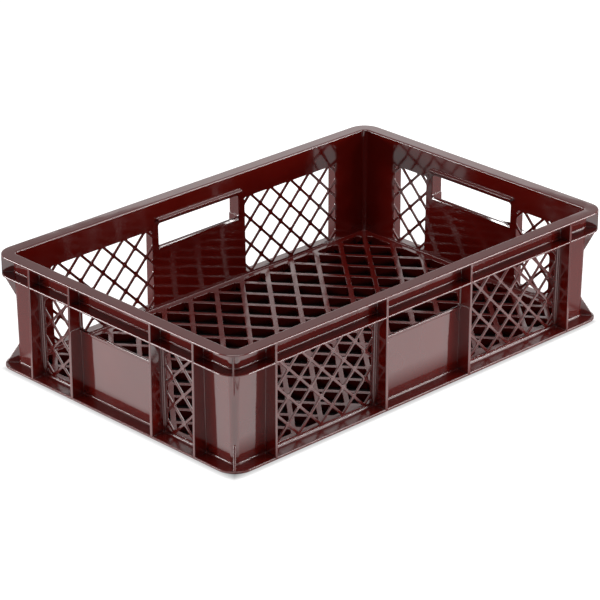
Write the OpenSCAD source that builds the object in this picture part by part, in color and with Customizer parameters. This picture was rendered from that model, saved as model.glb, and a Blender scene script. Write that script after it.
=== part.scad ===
// Stacking bakery crate, moulded in one piece.
// Millimetres, +Z up, long side along X, origin at the centre of the footprint on the ground.
// The walls are one drafted section swept around the plan. Ribs, gussets, the open lattice,
// the four hand slots and the grid floor belong to the same moulding.

/* [Overall] */
// Length over the flanges
crate_l = 600; // [500:10:800]
// Width over the flanges
crate_w = 400; // [350:10:600]
// Height from the ground to the rim
crate_h = 145; // [130:1:220]

/* [Foot] */
// Height of the stacking foot that drops into the rim of the crate below
foot_h = 5; // [4:0.5:8]
// Distance of the foot from the flange edge
foot_recess = 19; // [18.5:0.5:24]
// Corner radius of the foot's inner face
foot_inner_r = 2; // [1:0.5:8]

/* [Walls] */
// Thickness of the walls
wall_t = 3; // [2:0.1:3.6]
// Distance of the wall's outer face from the flange edge, at the rim
recess_top = 14.2; // [12:0.1:15]
// Distance of the wall's outer face from the flange edge, at the ground
recess_base = 17; // [15.5:0.1:18]

/* [Flanges] */
// Thickness of the flange at the base
base_flange_t = 3; // [2:0.1:5]
// Thickness of the band flange and of the rim
flange_t = 2.6; // [2:0.1:4]
// Clear height between the band flange and the rim
band_h = 20.8; // [15:0.1:30]
// Bevel along the flange edges
edge_bevel = 0.7; // [0.3:0.1:0.9]
// Radius of the rim's inner edge
rim_round = 2; // [1:0.1:2.4]
// Fillet where a flange meets the wall
root_fillet = 1.3; // [0.5:0.1:3]

/* [Ribs] */
// Thickness of the upright ribs
rib_t = 3; // [2:0.1:5]
// Thickness of the diagonal plate and the gussets in a corner
gusset_t = 2.2; // [1.5:0.1:4]
// Distance of the end ribs from the corner, to the middle of the rib
end_rib_d = 63.3; // [50:0.1:75]
// Half the distance between the two ribs beside a hand slot
bay_half = 67.7; // [60:0.1:75]
// Thickening of those ribs beside the panel below the hand slot
shoulder_t = 1; // [0.5:0.1:1.2]
// Height of that thickening above the lower edge of the hand slot
shoulder_over = 1.5; // [1:0.1:5]
// Height of the gusset under the band flange
upper_gusset_h = 30; // [12:1:40]
// Height of the gusset on the base flange
lower_gusset_h = 26; // [12:1:40]

/* [Hand slots] */
// Height of a hand slot
slot_h = 28.7; // [24:0.1:35]
// Wall left between a hand slot and the rib beside it
slot_side = 1.5; // [1.5:0.1:4]
// Wall left between a hand slot and the band flange
slot_top_gap = 2; // [1.5:0.1:4]
// Corner radius of a hand slot
slot_r = 3.5; // [2:0.5:8]
// Height of the shaped lip under a hand slot
lip_h = 4; // [2.5:0.1:6]
// Thickening of the lip on the outside
lip_out = 0.8; // [0.3:0.1:2]
// Depth of the bevel of the lip on the inside
lip_bevel = 1.2; // [0.5:0.1:1.6]
// Depth of the grip bead above a hand slot, inside
bead_d = 4.6; // [2:0.1:8]
// Height of the grip bead
bead_h = 3.8; // [2:0.1:6]

/* [Lattice windows] */
// Spacing of the lattice crossings, both ways
lattice_pitch = 33.7; // [28:0.1:45]
// Width of a lattice bar
lattice_bar = 3.2; // [2:0.1:5]
// Distance that the lattice is set back from the wall's outer face
lattice_back = 1; // [0.5:0.1:1.2]
// Wall of full thickness left between the set-back lattice and the ribs
lattice_rim = 2.8; // [2:0.1:4]
// Wall left between a window and the rib beside it
window_side = 5.8; // [5:0.1:8]
// Wall left between a window and the base flange
window_sill = 4.5; // [3:0.1:10]
// Wall left between a window and the band flange
window_head = 7.5; // [5:0.1:15]

/* [Floor] */
// Height of the floor bars
floor_h = 10; // [6:0.5:12]
// Thickness of the plate that joins the floor to the walls
floor_plate_t = 3; // [2:0.1:5]
// Width of a floor bar
floor_bar = 6; // [3:0.1:8]
// Spacing of the floor crossings along the length
floor_pitch_x = 42.3; // [35:0.1:60]
// Spacing of the floor crossings along the width
floor_pitch_y = 50.8; // [40:0.1:70]
// Offset of the nearest floor crossing from the centre, along the length
floor_shift_x = -8; // [-20:0.5:20]
// Offset of the nearest floor crossing from the centre, along the width
floor_shift_y = -10.8; // [-25:0.1:25]

/* [Hidden] */
$fn = 20;

// Cells that would leave less than this of themselves inside a window or the floor stay closed
least_cell = 7;
// Reach of the cutters past the faces that they cut
reach = 1;

corner_r = foot_recess + wall_t + foot_inner_r;
base_top = foot_h + base_flange_t;
band_top = crate_h - flange_t - band_h;
band_z = band_top - flange_t;
window_bottom = base_top + window_sill;
window_top = band_z - window_head;
slot_top = band_z - slot_top_gap;
slot_bottom = slot_top - slot_h;
slot_half = bay_half - rib_t / 2 - slot_side;
lip_z = slot_bottom - lip_h;
bead_z = band_top - bead_h / 2 + 1;
frame_recess = foot_recess + 2 * wall_t;
floor_recess = frame_recess + wall_t;
back_low = base_top + root_fillet + 0.3;
back_high = band_z - root_fillet - 0.3;
rib_z = foot_h + base_flange_t / 2;
rim_z = crate_h - flange_t / 2;

// Each side: turn, straight run, distance of the corner centres from the middle, total length
SIDES = [
    [0, crate_l - 2 * corner_r, crate_w / 2 - corner_r, crate_l, 0],
    [90, crate_w - 2 * corner_r, crate_l / 2 - corner_r, crate_w, 1],
    [180, crate_l - 2 * corner_r, crate_w / 2 - corner_r, crate_l, 0],
    [270, crate_w - 2 * corner_r, crate_l / 2 - corner_r, crate_w, 1]
];

// Each corner: turn, side of X, side of Y
CORNERS = [[0, 1, 1], [90, -1, 1], [180, -1, -1], [270, 1, -1]];

// Outer and inner face of the wall at a height, measured outward from the corner centre
function wall_out(z) = corner_r - recess_top - (recess_base - recess_top) * (crate_h - z) / crate_h;
function wall_in(z) = wall_out(z) - wall_t;
function wall_mid(z) = wall_out(z) - wall_t / 2;

// Points of a bevelled flange edge from one height to another
function flange_edge(low, high) = [
    [corner_r - edge_bevel, low],
    [corner_r, low + edge_bevel],
    [corner_r, high - edge_bevel],
    [corner_r - edge_bevel, high]
];

// Points of the fillet above and below a flange face
function fillet_above(z) = [
    [wall_out(z) + root_fillet, z],
    [wall_out(z + root_fillet), z + root_fillet]
];
function fillet_below(z) = [
    [wall_out(z - root_fillet), z - root_fillet],
    [wall_out(z) + root_fillet, z]
];

// Points of the round between the rim's top and its inner face
function rim_inner_edge() = [
    for (a = [90 : 30 : 180])
        [wall_in(crate_h) + rim_round * (1 + cos(a)), crate_h - rim_round * (1 - sin(a))]
];

// Section of the wall with its foot, its two flanges and its rim
module wall_section() {
    foot_out_r = corner_r - foot_recess;
    polygon(concat(
        [[foot_inner_r, 0], [foot_out_r, 0], [foot_out_r, foot_h]],
        flange_edge(foot_h, base_top),
        fillet_above(base_top),
        fillet_below(band_z),
        flange_edge(band_z, band_top),
        fillet_above(band_top),
        fillet_below(crate_h - flange_t),
        flange_edge(crate_h - flange_t, crate_h),
        rim_inner_edge(),
        [[wall_in(floor_h), floor_h], [foot_inner_r, floor_h - floor_plate_t]]
    ));
}

// Stands its children on every side, with Y = 0 on the line of the corner centres
module each_side() {
    for (side = SIDES) {
        $run = side[1];
        $total = side[3];
        $phase = side[4];
        rotate([0, 0, side[0]])
            translate([0, side[2], 0])
                children();
    }
}

// Stands its children in every corner, with X pointing outward along the diagonal's quadrant
module each_corner() {
    for (corner = CORNERS)
        translate([corner[1] * (crate_l / 2 - corner_r), corner[2] * (crate_w / 2 - corner_r), 0])
            rotate([0, 0, corner[0]])
                children();
}

// Sweeps a section along the side that it stands on
module along_side(length) {
    rotate([90, 0, 90])
        linear_extrude(length, center = true)
            children();
}

// Cuts an outline on a side straight through the wall
module through_wall() {
    translate([0, corner_r + reach, 0])
        rotate([90, 0, 0])
            linear_extrude(corner_r + reach)
                children();
}

// A diamond with its half diagonals
module diamond(half_x, half_y) {
    polygon([[half_x, 0], [0, half_y], [-half_x, 0], [0, -half_y]]);
}

// A rectangle with round corners
module round_rect(size_x, size_y, r) {
    square([size_x - 2 * r, size_y], center = true);
    square([size_x, size_y - 2 * r], center = true);
    for (x = [-1, 1], y = [-1, 1])
        translate([x * (size_x / 2 - r), y * (size_y / 2 - r)])
            circle(r);
}

// Plan outline at a distance from the flange edge
module plan(recess) {
    round_rect(crate_l - 2 * recess, crate_w - 2 * recess, max(corner_r - recess, 1));
}

// Diamond openings inside a rectangle: the half size, the crossing nearest the centre and the bars
module diamond_cells(half_x, half_y, cross_x, cross_y, pitch_x, pitch_y, bar) {
    lean = atan2(pitch_y, pitch_x);
    cell_x = pitch_x / 2 - bar / 2 / sin(lean);
    cell_y = pitch_y / 2 - bar / 2 / cos(lean);
    last_x = ceil(2 * (half_x + abs(cross_x)) / pitch_x) + 1;
    last_y = ceil(2 * (half_y + abs(cross_y)) / pitch_y) + 1;
    intersection() {
        square([2 * half_x, 2 * half_y], center = true);
        for (i = [-last_x : last_x], j = [-last_y : last_y]) {
            x = cross_x + i * pitch_x / 2;
            y = cross_y + j * pitch_y / 2;
            inside = min(half_x - abs(x) + cell_x, half_y - abs(y) + cell_y);
            if (abs(i + j) % 2 == 1 && inside > least_cell)
                translate([x, y])
                    diamond(cell_x, cell_y);
        }
    }
}

// Stands its children in the middle between the two ribs at both ends of a side
module each_window() {
    near = bay_half + rib_t / 2;
    far = $total / 2 - end_rib_d - rib_t / 2;
    $gap = far - near;
    for (end = [-1, 1])
        translate([end * (near + far) / 2, 0, 0])
            children();
}

// The lattice openings of one side
module window_cells() {
    half_z = (window_top - window_bottom) / 2;
    each_window()
        translate([0, window_bottom + half_z])
            diamond_cells($gap / 2 - window_side, half_z, $phase * lattice_pitch / 2, -half_z,
                lattice_pitch, lattice_pitch, lattice_bar);
}

// Material that the wall loses outside the lattice
module set_back_cut() {
    polygon([
        [wall_out(back_low) - lattice_back, back_low],
        [corner_r, back_low],
        [corner_r, back_high],
        [wall_out(back_high) - lattice_back, back_high]
    ]);
}

// Opening of a hand slot
module slot_opening() {
    translate([0, (slot_bottom + slot_top) / 2])
        round_rect(2 * slot_half, slot_h, slot_r);
}

// Material that the bevelled lip loses on the inside
module lip_cut() {
    polygon([
        [wall_in(lip_z) - reach, lip_z],
        [wall_in(lip_z), lip_z],
        [wall_in(slot_bottom) + lip_bevel, slot_bottom],
        [wall_in(slot_bottom) + lip_bevel, slot_bottom + reach],
        [wall_in(slot_bottom) - reach, slot_bottom + reach]
    ]);
}

// Thickening of the lip on the outside
module lip_section() {
    mid = wall_mid(slot_bottom);
    polygon([
        [mid, lip_z],
        [wall_out(lip_z), lip_z],
        [wall_out(lip_z) + lip_out, lip_z + lip_out / 2],
        [wall_out(slot_bottom) + lip_out, slot_bottom - lip_out],
        [wall_out(slot_bottom), slot_bottom],
        [mid, slot_bottom]
    ]);
}

// Bead over the slot that the fingers hold, with bevelled edges
module bead_section() {
    face = wall_in(bead_z) - bead_d;
    polygon([
        [wall_mid(bead_z), bead_z],
        [face + edge_bevel, bead_z],
        [face, bead_z + edge_bevel],
        [face, bead_z + bead_h - edge_bevel],
        [face + edge_bevel, bead_z + bead_h],
        [wall_mid(bead_z), bead_z + bead_h]
    ]);
}

// Side view of a rib that is rooted in the wall and flush with the flange edges
module rib_section(top) {
    polygon([
        [wall_mid(rib_z), rib_z],
        [corner_r, rib_z],
        [corner_r, top],
        [wall_mid(top), top]
    ]);
}

// Upright rib from the base flange to the rim
module rib() {
    along_side(rib_t)
        rib_section(rim_z);
}

// Thicker lower part of a rib beside a hand slot, toward the middle of the side
module shoulder() {
    translate([-shoulder_t, 0, 0])
        along_side(rib_t)
            rib_section(slot_bottom + shoulder_over);
}

// All ribs of one side
module ribs() {
    for (end = [0, 1])
        mirror([end, 0, 0]) {
            translate([bay_half, 0, 0]) {
                rib();
                shoulder();
            }
            translate([$total / 2 - end_rib_d, 0, 0])
                rib();
        }
}

// Diagonal plate in a corner: full depth above the band flange, gussets below it
module corner_plate() {
    edge = corner_r - edge_bevel / 2;
    low = base_top + lower_gusset_h;
    high = band_z - upper_gusset_h;
    rotate([90, 0, 45])
        linear_extrude(gusset_t, center = true)
            polygon([
                [wall_mid(rib_z), rib_z],
                [edge, rib_z],
                [wall_mid(low), low],
                [wall_mid(high), high],
                [edge, band_z + flange_t / 2],
                [edge, rim_z],
                [wall_mid(rim_z), rim_z]
            ]);
}

// Open grid floor with the frame that closes it
module floor_grid() {
    linear_extrude(floor_h)
        difference() {
            plan(frame_recess);
            diamond_cells(crate_l / 2 - floor_recess, crate_w / 2 - floor_recess,
                floor_shift_x, floor_shift_y, floor_pitch_x, floor_pitch_y, floor_bar);
        }
    translate([0, 0, floor_h - floor_plate_t])
        linear_extrude(floor_plate_t)
            difference() {
                plan(foot_recess);
                plan(frame_recess + wall_t / 2);
            }
}

// Walls with their lattice, hand slots and lips
module walls() {
    difference() {
        union() {
            each_side()
                along_side($run)
                    wall_section();
            each_corner()
                rotate_extrude(angle = 90)
                    wall_section();
        }
        each_side() {
            through_wall() {
                window_cells();
                slot_opening();
            }
            along_side(2 * slot_half)
                lip_cut();
            each_window()
                along_side($gap - 2 * lattice_rim)
                    set_back_cut();
        }
    }
}

module crate() {
    color("saddlebrown")
        union() {
            walls();
            floor_grid();
            each_side() {
                ribs();
                along_side(2 * slot_half + 2 * slot_side)
                    lip_section();
                along_side(2 * bay_half)
                    bead_section();
            }
            each_corner()
                corner_plate();
        }
}

crate();
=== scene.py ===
"""Bakery crate: its moulded plastic, the studio and the camera. Metres, +Z up, in the CAD frame."""
import math

import bmesh
import bpy
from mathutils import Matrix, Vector


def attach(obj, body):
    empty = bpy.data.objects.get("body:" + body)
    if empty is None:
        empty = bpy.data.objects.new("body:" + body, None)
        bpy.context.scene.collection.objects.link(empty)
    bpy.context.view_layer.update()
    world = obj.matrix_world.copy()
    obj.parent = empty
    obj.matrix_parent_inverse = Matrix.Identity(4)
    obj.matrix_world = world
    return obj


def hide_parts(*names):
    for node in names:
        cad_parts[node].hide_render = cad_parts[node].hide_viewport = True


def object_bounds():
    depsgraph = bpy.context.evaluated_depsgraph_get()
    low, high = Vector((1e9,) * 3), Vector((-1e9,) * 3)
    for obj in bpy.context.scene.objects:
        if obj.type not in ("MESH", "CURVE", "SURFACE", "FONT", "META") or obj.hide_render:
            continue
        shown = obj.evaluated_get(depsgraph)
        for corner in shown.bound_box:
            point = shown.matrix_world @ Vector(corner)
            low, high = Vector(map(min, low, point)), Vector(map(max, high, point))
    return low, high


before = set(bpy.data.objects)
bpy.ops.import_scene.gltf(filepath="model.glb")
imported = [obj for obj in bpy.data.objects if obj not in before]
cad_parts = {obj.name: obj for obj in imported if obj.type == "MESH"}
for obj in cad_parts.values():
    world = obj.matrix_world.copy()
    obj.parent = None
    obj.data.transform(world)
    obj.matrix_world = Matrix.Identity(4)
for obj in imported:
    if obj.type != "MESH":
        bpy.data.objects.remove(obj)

CAD_BOX = [list(corner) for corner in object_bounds()]
NODE = "crate"
BODY = "root"
HALF_L = CAD_BOX[1][0]
HALF_W = CAD_BOX[1][1]
TOP = CAD_BOX[1][2]

# The photograph's camera, fitted to the rims, flanges and ribs
IMAGE_SIDE_PX = 600
FOCAL_PX = 2985
SENSOR = 36
CAMERA_AT = (-2.2167, -2.2768, 1.4706)
CAMERA_YAW = 45.87
CAMERA_PITCH = -23.99
CAMERA_REACH = 100

# Where the lattice and floor openings are
FLOOR_TOP = 0.010
WALL_THICK = (0.0015, 0.0036)
WINDOW_Z = (0.0122, 0.1125)
BAY_HALF = 0.072

# What still counts as straight, level, upright or equal
STRAIGHT = 0.99
LEVEL = 0.99
CELL_UPRIGHT = 0.01
RIM_UPRIGHT = 0.05
SLACK = 1e-4
RIM_SLACK = 1e-5
MERGE = 1e-6

# Rounding of the corners of cells, windows and the rim
CELL_ROUND = 0.0018
CELL_STEPS = 4
WINDOW_ROUND = 0.007
WINDOW_STEPS = 6
RIM_ROUND = 0.0011
RIM_STEPS = 3

# Rounding of all other edges, with its share round the base flange and none underneath
EDGE_ROUND = 0.0005
EDGE_STEPS = 2
EDGE_ANGLE = 31
UNDERSIDE = 0.0006
BASE_EDGE = 0.3
BASE_EDGE_REACH = 0.002
BASE_EDGE_TOP = 0.02
NORMAL_WEIGHT = 100

# Colours, linear
BROWN_DARK = (0.092, 0.0030, 0.0016, 1)
BROWN_LIGHT = (0.112, 0.0046, 0.0026, 1)
WHITE = (1, 1, 1, 1)
PAPER = (0.5, 0.5, 0.5, 1)
# Painted shadow: the floor's dark paint colour under the crate
PAINTED_SHADE = (0.01, 0.008, 0.008, 1)

# The plastic's gloss, flow marks and wavy skin, with a scuffed floor grid
IOR = 1.55
SPECULAR = 0.8
NOISE_SPAN = (0.3, 0.7)
FLOW_SCALE = 14
SKIN_SCALE = 60
SKIN_DETAIL = 4
RIPPLE_SCALE = 30
RIPPLE_DETAIL = 1
RIPPLE_HEIGHT = 0.001
WALL_RIPPLE = 0.25
FLOOR_RIPPLE = 0.8
ROUGHNESS = (0.05, 0.10)
FLOOR_SCUFF = 0.15
FLOOR_SKIN = (0.0002, 0.001)

# The studio floor: how strong it looks to the camera, in mirror images and as a light
STUDIO_SIZE = 60
STUDIO_DROP = 0.0005
FLOOR_SEEN = 0.90
FLOOR_MIRRORED = 1.45
# Painted contact shade: as a light the floor glows only the first value at the crate, rising to the second
# over the reach below
FLOOR_LIGHT = (0.12, 0.80)
FLOOR_LIGHT_SHADE_REACH = 0.012
# Painted shadow under the crate: over this width inside the crate's outline the floor's glow goes out and
# its paint turns dark
PAINTED_SHADOW_FADE = 0.02

# Painted shade in the floor's mirror image: darker at the crate, in a strip before it and behind it
CONTACT = 0.04
CONTACT_X = 2.5
CONTACT_LOW = 0.05
STRIP_NEAR = -0.362
STRIP_FAR = -0.374
STRIP_FADE = 0.006
STRIP_DIM = 0.22
BEHIND_DIM = 0.35

# The sky as the camera, mirror images and all other light see it
SKY_SEEN = 1.0
SKY_MIRRORED = 0.50
SKY_LIGHT = 0.06


def is_cell_corner(edge):
    """An inner corner of a lattice opening or of a floor opening."""
    if not edge.is_manifold or edge.is_convex:
        return False
    length = edge.calc_length()
    run = (edge.verts[1].co - edge.verts[0].co) / length
    middle = (edge.verts[0].co + edge.verts[1].co) / 2
    if abs(run.z) > STRAIGHT:
        return abs(length - FLOOR_TOP) < SLACK and middle.z < FLOOR_TOP / 2 + SLACK
    beside = abs(middle.x) if abs(run.y) > abs(run.x) else abs(middle.y)
    through = max(abs(run.x), abs(run.y)) > STRAIGHT and WALL_THICK[0] < length < WALL_THICK[1]
    return through and beside > BAY_HALF and WINDOW_Z[0] < middle.z < WINDOW_Z[1]


def is_window_corner(edge):
    """A cell corner between the side and the top or bottom of a whole window."""
    lean = sorted(abs(face.normal.z) for face in edge.link_faces)
    return lean[0] < CELL_UPRIGHT and lean[1] > LEVEL


def is_rim_edge(edge):
    """The outer edge of the rim's flat top."""
    if not edge.is_manifold or not edge.is_convex:
        return False
    lean = sorted(face.normal.z for face in edge.link_faces)
    at_top = min(vert.co.z for vert in edge.verts) > TOP - RIM_SLACK
    return at_top and abs(lean[0]) < RIM_UPRIGHT and lean[1] > LEVEL


def room_beside(edge):
    """How far the smaller face beside an edge reaches from it."""
    start = edge.verts[0].co
    run = (edge.verts[1].co - start).normalized()
    return min(
        max((vert.co - start).cross(run).length for vert in face.verts)
        for face in edge.link_faces
    )


def edge_softness(edge):
    """Share of the edge rounding: less round the base flange, none below or on shallow steps."""
    if not edge.is_manifold or edge.calc_face_angle() < math.radians(EDGE_ANGLE):
        return 0
    if min(vert.co.z for vert in edge.verts) < UNDERSIDE:
        return 0
    middle = (edge.verts[0].co + edge.verts[1].co) / 2
    beside = max(abs(middle.x) - HALF_L, abs(middle.y) - HALF_W)
    return BASE_EDGE if beside > -BASE_EDGE_REACH and middle.z < BASE_EDGE_TOP else 1


def round_corners(bm, edges, offset, steps):
    bmesh.ops.bevel(
        bm, geom=edges, offset=offset, segments=steps, profile=0.5,
        affect="EDGES", clamp_overlap=False,
    )


def round_window_corners(bm):
    """Rounds each window's own corners as far as the lattice bars beside them leave room."""
    corners = [edge for edge in bm.edges if is_cell_corner(edge) and is_window_corner(edge)]
    for edge in corners:
        room = room_beside(edge) - CELL_ROUND
        if room > CELL_ROUND:
            round_corners(bm, [edge], min(WINDOW_ROUND, room), WINDOW_STEPS)


def rounded_crate(node):
    """The moulding with round window and cell corners and soft edges."""
    bm = bmesh.new()
    bm.from_mesh(node.data)
    bmesh.ops.remove_doubles(bm, verts=bm.verts, dist=MERGE)
    round_window_corners(bm)
    round_corners(bm, [edge for edge in bm.edges if is_cell_corner(edge)], CELL_ROUND, CELL_STEPS)
    round_corners(bm, [edge for edge in bm.edges if is_rim_edge(edge)], RIM_ROUND, RIM_STEPS)
    soften = bm.edges.layers.float.new("bevel_weight_edge")
    for edge in bm.edges:
        edge[soften] = edge_softness(edge)
    for face in bm.faces:
        face.smooth = True
    mesh = bpy.data.meshes.new("crate_shell")
    bm.to_mesh(mesh)
    bm.free()
    piece = bpy.data.objects.new("crate_shell", mesh)
    bpy.context.scene.collection.objects.link(piece)
    bevel = piece.modifiers.new("edges", "BEVEL")
    bevel.width = EDGE_ROUND
    bevel.segments = EDGE_STEPS
    bevel.limit_method = "WEIGHT"
    bevel.use_clamp_overlap = False
    normals = piece.modifiers.new("normals", "WEIGHTED_NORMAL")
    normals.keep_sharp = False
    normals.weight = NORMAL_WEIGHT
    return piece


def new_material(name):
    material = bpy.data.materials.new(name)
    material.use_nodes = True
    nodes = material.node_tree.nodes
    nodes.clear()
    return material, nodes, material.node_tree.links


def feed(links, socket, value):
    """Gives a socket a number, or links it to another socket."""
    if isinstance(value, (int, float)):
        socket.default_value = value
    else:
        links.new(value, socket)


def noise(nodes, links, coords, scale, detail=2.0):
    texture = nodes.new("ShaderNodeTexNoise")
    texture.inputs["Scale"].default_value = scale
    texture.inputs["Detail"].default_value = detail
    links.new(coords.outputs["Object"], texture.inputs["Vector"])
    return texture.outputs["Fac"]


def ramp(nodes, links, value, start, end, low, high):
    """Takes a value from one range to another."""
    span = nodes.new("ShaderNodeMapRange")
    span.inputs["From Min"].default_value = start
    span.inputs["From Max"].default_value = end
    span.inputs["To Min"].default_value = low
    span.inputs["To Max"].default_value = high
    links.new(value, span.inputs["Value"])
    return span.outputs["Result"]


def combine(nodes, links, operation, first, second):
    """A math node over two values, each a socket or a number."""
    step = nodes.new("ShaderNodeMath")
    step.operation = operation
    for socket, value in zip(step.inputs, (first, second)):
        feed(links, socket, value)
    return step.outputs["Value"]


def colour_mix(nodes, links, factor, first, second):
    mix = nodes.new("ShaderNodeMix")
    mix.data_type = "RGBA"
    mix.inputs["A"].default_value = first
    mix.inputs["B"].default_value = second
    links.new(factor, mix.inputs["Factor"])
    return mix.outputs["Result"]


def ray_switch(nodes, links, camera, glossy, other):
    """One value for what the camera sees, one for mirror images, one for all other light."""
    path = nodes.new("ShaderNodeLightPath")
    for value, picked, flag in ((glossy, "glossy", "Is Glossy Ray"), (camera, "camera", "Is Camera Ray")):
        mix = nodes.new("ShaderNodeMix")
        mix.label = picked
        links.new(path.outputs[flag], mix.inputs["Factor"])
        feed(links, mix.inputs["A"], other)
        feed(links, mix.inputs["B"], value)
        other = mix.outputs["Result"]
    return other


def moulded_plastic():
    """Glossy red-brown plastic with faint flow marks and a slightly wavy skin."""
    material, nodes, links = new_material("moulded_plastic")
    shader = nodes.new("ShaderNodeBsdfPrincipled")
    output = nodes.new("ShaderNodeOutputMaterial")
    coords = nodes.new("ShaderNodeTexCoord")
    place = nodes.new("ShaderNodeSeparateXYZ")
    links.new(coords.outputs["Object"], place.inputs["Vector"])
    on_floor = ramp(
        nodes, links, place.outputs["Z"], FLOOR_TOP + FLOOR_SKIN[0], FLOOR_TOP + FLOOR_SKIN[1], 1, 0
    )

    flow = ramp(nodes, links, noise(nodes, links, coords, FLOW_SCALE), *NOISE_SPAN, 0, 1)
    links.new(colour_mix(nodes, links, flow, BROWN_DARK, BROWN_LIGHT), shader.inputs["Base Color"])

    skin = noise(nodes, links, coords, SKIN_SCALE, SKIN_DETAIL)
    gloss = ramp(nodes, links, skin, *NOISE_SPAN, *ROUGHNESS)
    scuffed = combine(nodes, links, "MULTIPLY", on_floor, FLOOR_SCUFF)
    links.new(combine(nodes, links, "ADD", gloss, scuffed), shader.inputs["Roughness"])
    shader.inputs["IOR"].default_value = IOR
    shader.inputs["Specular IOR Level"].default_value = SPECULAR

    ripple = nodes.new("ShaderNodeBump")
    ripple.inputs["Distance"].default_value = RIPPLE_HEIGHT
    strength = ramp(nodes, links, on_floor, 0, 1, WALL_RIPPLE, FLOOR_RIPPLE)
    links.new(strength, ripple.inputs["Strength"])
    waves = noise(nodes, links, coords, RIPPLE_SCALE, RIPPLE_DETAIL)
    links.new(waves, ripple.inputs["Height"])
    links.new(ripple.outputs["Normal"], shader.inputs["Normal"])
    links.new(shader.outputs["BSDF"], output.inputs["Surface"])
    return material


def painted_mirror_shade(nodes, links, x, y, beside_x, beside_y):
    """Share of the floor's brightness left in mirror images, with painted shade at the crate, in a strip
    before it and behind it.
    """
    near_x = combine(nodes, links, "MULTIPLY", beside_x, CONTACT_X)
    near = combine(nodes, links, "MAXIMUM", near_x, beside_y)
    contact = ramp(nodes, links, near, 0, CONTACT, CONTACT_LOW, 1)
    inner = ramp(nodes, links, y, STRIP_NEAR - STRIP_FADE, STRIP_NEAR, STRIP_DIM, 1)
    outer = ramp(nodes, links, y, STRIP_FAR - STRIP_FADE, STRIP_FAR, 1, STRIP_DIM)
    strip = combine(nodes, links, "MAXIMUM", inner, outer)
    far_x = combine(nodes, links, "SUBTRACT", x, HALF_L)
    far_y = combine(nodes, links, "SUBTRACT", y, HALF_W)
    far = combine(nodes, links, "MAXIMUM", far_x, far_y)
    behind = ramp(nodes, links, far, 0, STRIP_FADE, 1, BEHIND_DIM)
    before = combine(nodes, links, "MULTIPLY", contact, strip)
    return combine(nodes, links, "MULTIPLY", before, behind)


def floor_material():
    """A white floor that keeps its cast shadow and shows in the plastic, with painted shade: dark paint
    and no glow under the crate, and a glow dimmed near the crate.
    """
    material, nodes, links = new_material("studio_floor")
    output = nodes.new("ShaderNodeOutputMaterial")
    add = nodes.new("ShaderNodeAddShader")
    paint = nodes.new("ShaderNodeBsdfDiffuse")
    glow = nodes.new("ShaderNodeEmission")
    coords = nodes.new("ShaderNodeTexCoord")
    place = nodes.new("ShaderNodeSeparateXYZ")
    links.new(coords.outputs["Object"], place.inputs["Vector"])
    x, y = place.outputs["X"], place.outputs["Y"]
    beside = []
    for across, half in ((x, HALF_L), (y, HALF_W)):
        size = combine(nodes, links, "ABSOLUTE", across, 0)
        beside.append(combine(nodes, links, "SUBTRACT", size, half))
    away = combine(nodes, links, "MAXIMUM", *beside)
    # Painted shadow mask: zero under the crate, one outside it
    outside_painted_shadow = ramp(nodes, links, away, -PAINTED_SHADOW_FADE, 0, 0, 1)

    # Painted shade in the floor's mirror images: the share of brightness left near, before and behind the
    # crate
    share = painted_mirror_shade(nodes, links, x, y, *beside)
    mirrored = combine(nodes, links, "MULTIPLY", share, FLOOR_MIRRORED)
    # Painted contact shade in the floor's light on the crate: weaker right next to it
    light = ramp(nodes, links, away, 0, FLOOR_LIGHT_SHADE_REACH, *FLOOR_LIGHT)
    strength = ray_switch(nodes, links, FLOOR_SEEN, mirrored, light)
    # No glow under the crate: painted shadow
    links.new(combine(nodes, links, "MULTIPLY", strength, outside_painted_shadow), glow.inputs["Strength"])
    glow.inputs["Color"].default_value = WHITE

    # Paint colour: painted shadow under the crate, and painted shade where the floor's mirror image is
    # darkened
    lit = combine(nodes, links, "MULTIPLY", ray_switch(nodes, links, 1, share, 1), outside_painted_shadow)
    links.new(colour_mix(nodes, links, lit, PAINTED_SHADE, PAPER), paint.inputs["Color"])
    links.new(paint.outputs["BSDF"], add.inputs[0])
    links.new(glow.outputs["Emission"], add.inputs[1])
    links.new(add.outputs["Shader"], output.inputs["Surface"])
    return material


def studio_floor():
    bpy.ops.mesh.primitive_plane_add(size=STUDIO_SIZE, location=(0, 0, -STUDIO_DROP))
    floor = bpy.context.object
    floor.name = "studio_floor"
    floor.data.materials.append(floor_material())


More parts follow.
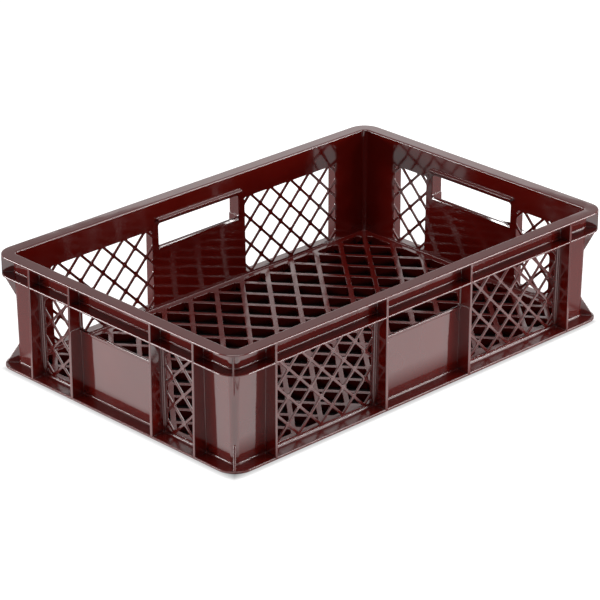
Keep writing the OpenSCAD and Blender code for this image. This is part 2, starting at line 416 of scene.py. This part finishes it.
def studio_world():
    world = bpy.data.worlds.new("studio")
    world.use_nodes = True
    bpy.context.scene.world = world
    nodes, links = world.node_tree.nodes, world.node_tree.links
    sky = nodes["Background"]
    sky.inputs["Color"].default_value = WHITE
    strength = ray_switch(nodes, links, SKY_SEEN, SKY_MIRRORED, SKY_LIGHT)
    links.new(strength, sky.inputs["Strength"])


def soft_light(name, toward, distance, size, radiance, height=0):
    """A rectangular softbox that faces the crate from a direction, raised by a height."""
    lamp = bpy.data.lights.new(name, "AREA")
    lamp.shape = "RECTANGLE"
    lamp.size, lamp.size_y = size
    lamp.energy = radiance * math.pi * size[0] * size[1]
    holder = bpy.data.objects.new(name, lamp)
    bpy.context.scene.collection.objects.link(holder)
    direction = Vector(toward).normalized()
    holder.location = direction * distance + Vector((0, 0, height))
    holder.rotation_euler = direction.to_track_quat("Z", "Y").to_euler()


def studio_lights():
    """Two low flank lights, one above, two that light the bevelled edges and a card behind."""
    soft_light("left", toward=(-0.74, 0.67, 0.11), distance=2.6, size=(1.6, 0.4), radiance=23.0)
    soft_light("right", toward=(0.67, -0.74, 0.11), distance=2.6, size=(1.6, 0.4), radiance=20.0)
    soft_light("top", toward=(-0.1, -0.1, 1), distance=2.0, size=(1.2, 1.2), radiance=4.2)
    soft_light("key_right", toward=(0.636, -0.407, 0.656), distance=2.2, size=(0.9, 0.9), radiance=4.0)
    soft_light("key_left", toward=(-0.427, 0.636, 0.656), distance=2.2, size=(0.7, 0.7), radiance=0.6)
    soft_light("back", toward=(0.62, 0.79, 0.0), distance=0.9, size=(4.0, 0.5), radiance=0.80, height=0.24)


def photo_camera():
    camera = bpy.data.cameras.new("photo_camera")
    camera.sensor_width = SENSOR
    camera.lens = FOCAL_PX / IMAGE_SIDE_PX * SENSOR
    camera.clip_end = CAMERA_REACH
    holder = bpy.data.objects.new("photo_camera", camera)
    bpy.context.scene.collection.objects.link(holder)
    holder.location = CAMERA_AT
    holder.rotation_euler = (
        math.radians(90 + CAMERA_PITCH), 0, math.radians(CAMERA_YAW - 90)
    )
    bpy.context.scene.camera = holder


shell = rounded_crate(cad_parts[NODE])
shell.data.materials.clear()
shell.data.materials.append(moulded_plastic())
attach(shell, BODY)
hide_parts(NODE)

studio_floor()
studio_world()
studio_lights()
photo_camera()
bpy.context.scene.view_settings.view_transform = "Standard"
